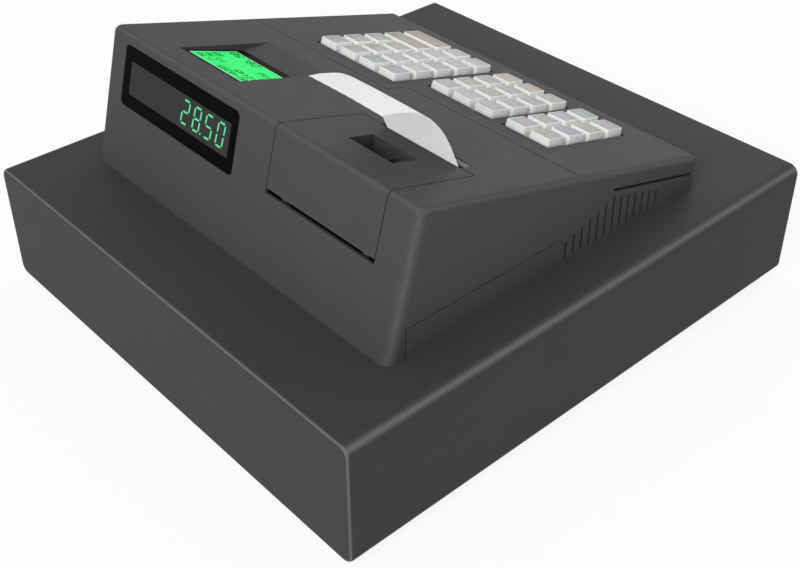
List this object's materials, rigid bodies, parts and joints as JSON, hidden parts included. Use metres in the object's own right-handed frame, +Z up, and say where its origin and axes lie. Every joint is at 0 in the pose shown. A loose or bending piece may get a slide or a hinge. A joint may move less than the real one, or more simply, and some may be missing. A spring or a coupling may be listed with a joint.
{
  "type": "ticket register",
  "caption": "Cash drawer with a sloping printing ticket terminal on top: key blocks, two displays, hinged paper cover and a curled receipt.",
  "frame": {"origin": "centre of the bounding box at the underside of the feet", "axes": "+Y towards the customer (the rear), -Y towards the operator and the drawer's front, +Z up, +X to the operator's right"},
  "size_m": [0.41, 0.45, 0.2464],
  "materials": {
    "drawer_enamel": "fine textured dark grey enamel",
    "bright_steel": "zinc plated steel",
    "lock_chrome": "polished",
    "foot_rubber": "matt black rubber",
    "till_plastic": "black moulded plastic",
    "clip_plastic": "dark grey moulded plastic",
    "case_plastic": "fine textured grey plastic",
    "key_plastic": "off-white plastic with a small tinted label",
    "board": "green printed board",
    "display_black": "glossy black",
    "display_green": "lit green panel",
    "digit_module": "dark module with lit green digits",
    "frame_plastic": "black moulded plastic",
    "roller_rubber": "matt rubber on a steel shaft",
    "receipt_paper": "smooth white thermal paper"
  },
  "bodies": {
    "housing": {"drawer_casing": "drawer_enamel", "drawer_feet": "foot_rubber", "lower_case": "case_plastic", "upper_case": "case_plastic", "keyboard_frame": "case_plastic", "keyboard_board": "board", "customer_window": "display_black", "customer_display": "digit_module", "operator_display": "display_green", "printer_frame": "frame_plastic"},
    "drawer": {"drawer_tray": "drawer_enamel", "drawer_striker": "bright_steel", "till_insert": "till_plastic"},
    "lock": {"drawer_lock": "lock_chrome"},
    "latch": {"drawer_latch": "bright_steel"},
    "cover": {"printer_cover": "case_plastic", "receipt_strip": "receipt_paper"},
    "platen": {"platen_roller": "roller_rubber"},
    "roll": {"paper_roll": "receipt_paper"},
    "clip_1": {"note_clip_1": "clip_plastic"},
    "clip_2": {"note_clip_2": "clip_plastic"},
    "clip_3": {"note_clip_3": "clip_plastic"},
    "clip_4": {"note_clip_4": "clip_plastic"},
    "key_a1_1_body": {"key_a1_1": "key_plastic"},
    "key_a1_2_body": {"key_a1_2": "key_plastic"},
    "key_a1_3_body": {"key_a1_3": "key_plastic"},
    "key_a1_4_body": {"key_a1_4": "key_plastic"},
    "key_a2_1_body": {"key_a2_1": "key_plastic"},
    "key_a2_2_body": {"key_a2_2": "key_plastic"},
    "key_a2_3_body": {"key_a2_3": "key_plastic"},
    "key_a2_4_body": {"key_a2_4": "key_plastic"},
    "key_a3_1_body": {"key_a3_1": "key_plastic"},
    "key_a3_2_body": {"key_a3_2": "key_plastic"},
    "key_a3_3_body": {"key_a3_3": "key_plastic"},
    "key_a3_4_body": {"key_a3_4": "key_plastic"},
    "key_a4_3_body": {"key_a4_3": "key_plastic"},
    "key_a4_4_body": {"key_a4_4": "key_plastic"},
    "key_a4_wide_body": {"key_a4_wide": "key_plastic"},
    "key_a5_3_body": {"key_a5_3": "key_plastic"},
    "key_a5_4_body": {"key_a5_4": "key_plastic"},
    "key_a5_wide_body": {"key_a5_wide": "key_plastic"},
    "key_b2_1_body": {"key_b2_1": "key_plastic"},
    "key_b2_2_body": {"key_b2_2": "key_plastic"},
    "key_b2_3_body": {"key_b2_3": "key_plastic"},
    "key_b3_1_body": {"key_b3_1": "key_plastic"},
    "key_b3_2_body": {"key_b3_2": "key_plastic"},
    "key_b3_3_body": {"key_b3_3": "key_plastic"},
    "key_b4_1_body": {"key_b4_1": "key_plastic"},
    "key_b4_2_body": {"key_b4_2": "key_plastic"},
    "key_b4_3_body": {"key_b4_3": "key_plastic"},
    "key_b5_1_body": {"key_b5_1": "key_plastic"},
    "key_b5_2_body": {"key_b5_2": "key_plastic"},
    "key_b5_3_body": {"key_b5_3": "key_plastic"},
    "key_c2_1_body": {"key_c2_1": "key_plastic"},
    "key_c2_2_body": {"key_c2_2": "key_plastic"},
    "key_c3_1_body": {"key_c3_1": "key_plastic"},
    "key_c3_2_body": {"key_c3_2": "key_plastic"},
    "key_c4_1_body": {"key_c4_1": "key_plastic"},
    "key_c4_2_body": {"key_c4_2": "key_plastic"},
    "key_c5_1_body": {"key_c5_1": "key_plastic"},
    "key_c5_2_body": {"key_c5_2": "key_plastic"}
  },
  "joints": [
    {"name": "drawer_slide", "type": "slide", "parent": "housing", "child": "drawer", "axis": [0, -1, 0], "range_m": [0, 0.33]},
    {"name": "lock_turn", "type": "hinge", "parent": "drawer", "child": "lock", "pos_m": [0, -0.225, 0.0805], "axis": [0, -1, 0], "range_deg": [0, 90]},
    {"name": "latch_swing", "type": "hinge", "parent": "housing", "child": "latch", "pos_m": [0.04, 0.205, 0.0275], "axis": [0, 0, 1], "range_deg": [0, 10], "stiffness_Nm_per_rad": 0.05},
    {"name": "clip_1_lift", "type": "hinge", "parent": "drawer", "child": "clip_1", "pos_m": [-0.14025, 0.1545, 0.0367], "axis": [-1, 0, 0], "range_deg": [0, 75], "stiffness_Nm_per_rad": 0.02, "springref_deg": -22.92},
    {"name": "clip_2_lift", "type": "hinge", "parent": "drawer", "child": "clip_2", "pos_m": [-0.04675, 0.1545, 0.0367], "axis": [-1, 0, 0], "range_deg": [0, 75], "stiffness_Nm_per_rad": 0.02, "springref_deg": -22.92},
    {"name": "clip_3_lift", "type": "hinge", "parent": "drawer", "child": "clip_3", "pos_m": [0.04675, 0.1545, 0.0367], "axis": [-1, 0, 0], "range_deg": [0, 75], "stiffness_Nm_per_rad": 0.02, "springref_deg": -22.92},
    {"name": "clip_4_lift", "type": "hinge", "parent": "drawer", "child": "clip_4", "pos_m": [0.14025, 0.1545, 0.0367], "axis": [-1, 0, 0], "range_deg": [0, 75], "stiffness_Nm_per_rad": 0.02, "springref_deg": -22.92},
    {"name": "cover_hinge", "type": "hinge", "parent": "housing", "child": "cover", "pos_m": [-0.0857, 0.14269, 0.16003], "axis": [-1, 0, 0], "range_deg": [0, 50]},
    {"name": "platen_turn", "type": "hinge", "parent": "cover", "child": "platen", "pos_m": [-0.0897, 0.0673, 0.17673], "axis": [1, 0, 0], "continuous": true},
    {"name": "roll_turn", "type": "hinge", "parent": "housing", "child": "roll", "pos_m": [-0.0905, 0.108, 0.135], "axis": [1, 0, 0], "continuous": true},
    {"name": "key_a1_1_press", "type": "slide", "parent": "housing", "child": "key_a1_1_body", "axis": [0, 0.2689, -0.9632], "range_m": [0, 0.003], "stiffness_N_per_m": 250, "springref_m": -0.0012},
    {"name": "key_a1_2_press", "type": "slide", "parent": "housing", "child": "key_a1_2_body", "axis": [0, 0.2689, -0.9632], "range_m": [0, 0.003], "stiffness_N_per_m": 250, "springref_m": -0.0012},
    {"name": "key_a1_3_press", "type": "slide", "parent": "housing", "child": "key_a1_3_body", "axis": [0, 0.2689, -0.9632], "range_m": [0, 0.003], "stiffness_N_per_m": 250, "springref_m": -0.0012},
    {"name": "key_a1_4_press", "type": "slide", "parent": "housing", "child": "key_a1_4_body", "axis": [0, 0.2689, -0.9632], "range_m": [0, 0.003], "stiffness_N_per_m": 250, "springref_m": -0.0012},
    {"name": "key_a2_1_press", "type": "slide", "parent": "housing", "child": "key_a2_1_body", "axis": [0, 0.2689, -0.9632], "range_m": [0, 0.003], "stiffness_N_per_m": 250, "springref_m": -0.0012},
    {"name": "key_a2_2_press", "type": "slide", "parent": "housing", "child": "key_a2_2_body", "axis": [0, 0.2689, -0.9632], "range_m": [0, 0.003], "stiffness_N_per_m": 250, "springref_m": -0.0012},
    {"name": "key_a2_3_press", "type": "slide", "parent": "housing", "child": "key_a2_3_body", "axis": [0, 0.2689, -0.9632], "range_m": [0, 0.003], "stiffness_N_per_m": 250, "springref_m": -0.0012},
    {"name": "key_a2_4_press", "type": "slide", "parent": "housing", "child": "key_a2_4_body", "axis": [0, 0.2689, -0.9632], "range_m": [0, 0.003], "stiffness_N_per_m": 250, "springref_m": -0.0012},
    {"name": "key_a3_1_press", "type": "slide", "parent": "housing", "child": "key_a3_1_body", "axis": [0, 0.2689, -0.9632], "range_m": [0, 0.003], "stiffness_N_per_m": 250, "springref_m": -0.0012},
    {"name": "key_a3_2_press", "type": "slide", "parent": "housing", "child": "key_a3_2_body", "axis": [0, 0.2689, -0.9632], "range_m": [0, 0.003], "stiffness_N_per_m": 250, "springref_m": -0.0012},
    {"name": "key_a3_3_press", "type": "slide", "parent": "housing", "child": "key_a3_3_body", "axis": [0, 0.2689, -0.9632], "range_m": [0, 0.003], "stiffness_N_per_m": 250, "springref_m": -0.0012},
    {"name": "key_a3_4_press", "type": "slide", "parent": "housing", "child": "key_a3_4_body", "axis": [0, 0.2689, -0.9632], "range_m": [0, 0.003], "stiffness_N_per_m": 250, "springref_m": -0.0012},
    {"name": "key_a4_3_press", "type": "slide", "parent": "housing", "child": "key_a4_3_body", "axis": [0, 0.2689, -0.9632], "range_m": [0, 0.003], "stiffness_N_per_m": 250, "springref_m": -0.0012},
    {"name": "key_a4_4_press", "type": "slide", "parent": "housing", "child": "key_a4_4_body", "axis": [0, 0.2689, -0.9632], "range_m": [0, 0.003], "stiffness_N_per_m": 250, "springref_m": -0.0012},
    {"name": "key_a4_wide_press", "type": "slide", "parent": "housing", "child": "key_a4_wide_body", "axis": [0, 0.2689, -0.9632], "range_m": [0, 0.003], "stiffness_N_per_m": 250, "springref_m": -0.0012},
    {"name": "key_a5_3_press", "type": "slide", "parent": "housing", "child": "key_a5_3_body", "axis": [0, 0.2689, -0.9632], "range_m": [0, 0.003], "stiffness_N_per_m": 250, "springref_m": -0.0012},
    {"name": "key_a5_4_press", "type": "slide", "parent": "housing", "child": "key_a5_4_body", "axis": [0, 0.2689, -0.9632], "range_m": [0, 0.003], "stiffness_N_per_m": 250, "springref_m": -0.0012},
    {"name": "key_a5_wide_press", "type": "slide", "parent": "housing", "child": "key_a5_wide_body", "axis": [0, 0.2689, -0.9632], "range_m": [0, 0.003], "stiffness_N_per_m": 250, "springref_m": -0.0012},
    {"name": "key_b2_1_press", "type": "slide", "parent": "housing", "child": "key_b2_1_body", "axis": [0, 0.2689, -0.9632], "range_m": [0, 0.003], "stiffness_N_per_m": 250, "springref_m": -0.0012},
    {"name": "key_b2_2_press", "type": "slide", "parent": "housing", "child": "key_b2_2_body", "axis": [0, 0.2689, -0.9632], "range_m": [0, 0.003], "stiffness_N_per_m": 250, "springref_m": -0.0012},
    {"name": "key_b2_3_press", "type": "slide", "parent": "housing", "child": "key_b2_3_body", "axis": [0, 0.2689, -0.9632], "range_m": [0, 0.003], "stiffness_N_per_m": 250, "springref_m": -0.0012},
    {"name": "key_b3_1_press", "type": "slide", "parent": "housing", "child": "key_b3_1_body", "axis": [0, 0.2689, -0.9632], "range_m": [0, 0.003], "stiffness_N_per_m": 250, "springref_m": -0.0012},
    {"name": "key_b3_2_press", "type": "slide", "parent": "housing", "child": "key_b3_2_body", "axis": [0, 0.2689, -0.9632], "range_m": [0, 0.003], "stiffness_N_per_m": 250, "springref_m": -0.0012},
    {"name": "key_b3_3_press", "type": "slide", "parent": "housing", "child": "key_b3_3_body", "axis": [0, 0.2689, -0.9632], "range_m": [0, 0.003], "stiffness_N_per_m": 250, "springref_m": -0.0012},
    {"name": "key_b4_1_press", "type": "slide", "parent": "housing", "child": "key_b4_1_body", "axis": [0, 0.2689, -0.9632], "range_m": [0, 0.003], "stiffness_N_per_m": 250, "springref_m": -0.0012},
    {"name": "key_b4_2_press", "type": "slide", "parent": "housing", "child": "key_b4_2_body", "axis": [0, 0.2689, -0.9632], "range_m": [0, 0.003], "stiffness_N_per_m": 250, "springref_m": -0.0012},
    {"name": "key_b4_3_press", "type": "slide", "parent": "housing", "child": "key_b4_3_body", "axis": [0, 0.2689, -0.9632], "range_m": [0, 0.003], "stiffness_N_per_m": 250, "springref_m": -0.0012},
    {"name": "key_b5_1_press", "type": "slide", "parent": "housing", "child": "key_b5_1_body", "axis": [0, 0.2689, -0.9632], "range_m": [0, 0.003], "stiffness_N_per_m": 250, "springref_m": -0.0012},
    {"name": "key_b5_2_press", "type": "slide", "parent": "housing", "child": "key_b5_2_body", "axis": [0, 0.2689, -0.9632], "range_m": [0, 0.003], "stiffness_N_per_m": 250, "springref_m": -0.0012},
    {"name": "key_b5_3_press", "type": "slide", "parent": "housing", "child": "key_b5_3_body", "axis": [0, 0.2689, -0.9632], "range_m": [0, 0.003], "stiffness_N_per_m": 250, "springref_m": -0.0012},
    {"name": "key_c2_1_press", "type": "slide", "parent": "housing", "child": "key_c2_1_body", "axis": [0, 0.2689, -0.9632], "range_m": [0, 0.003], "stiffness_N_per_m": 250, "springref_m": -0.0012},
    {"name": "key_c2_2_press", "type": "slide", "parent": "housing", "child": "key_c2_2_body", "axis": [0, 0.2689, -0.9632], "range_m": [0, 0.003], "stiffness_N_per_m": 250, "springref_m": -0.0012},
    {"name": "key_c3_1_press", "type": "slide", "parent": "housing", "child": "key_c3_1_body", "axis": [0, 0.2689, -0.9632], "range_m": [0, 0.003], "stiffness_N_per_m": 250, "springref_m": -0.0012},
    {"name": "key_c3_2_press", "type": "slide", "parent": "housing", "child": "key_c3_2_body", "axis": [0, 0.2689, -0.9632], "range_m": [0, 0.003], "stiffness_N_per_m": 250, "springref_m": -0.0012},
    {"name": "key_c4_1_press", "type": "slide", "parent": "housing", "child": "key_c4_1_body", "axis": [0, 0.2689, -0.9632], "range_m": [0, 0.003], "stiffness_N_per_m": 250, "springref_m": -0.0012},
    {"name": "key_c4_2_press", "type": "slide", "parent": "housing", "child": "key_c4_2_body", "axis": [0, 0.2689, -0.9632], "range_m": [0, 0.003], "stiffness_N_per_m": 250, "springref_m": -0.0012},
    {"name": "key_c5_1_press", "type": "slide", "parent": "housing", "child": "key_c5_1_body", "axis": [0, 0.2689, -0.9632], "range_m": [0, 0.003], "stiffness_N_per_m": 250, "springref_m": -0.0012},
    {"name": "key_c5_2_press", "type": "slide", "parent": "housing", "child": "key_c5_2_body", "axis": [0, 0.2689, -0.9632], "range_m": [0, 0.003], "stiffness_N_per_m": 250, "springref_m": -0.0012}
  ],
  "couplings": [
    {"joint": "platen_turn", "follows": "roll_turn", "ratio": 5.4}
  ]
}
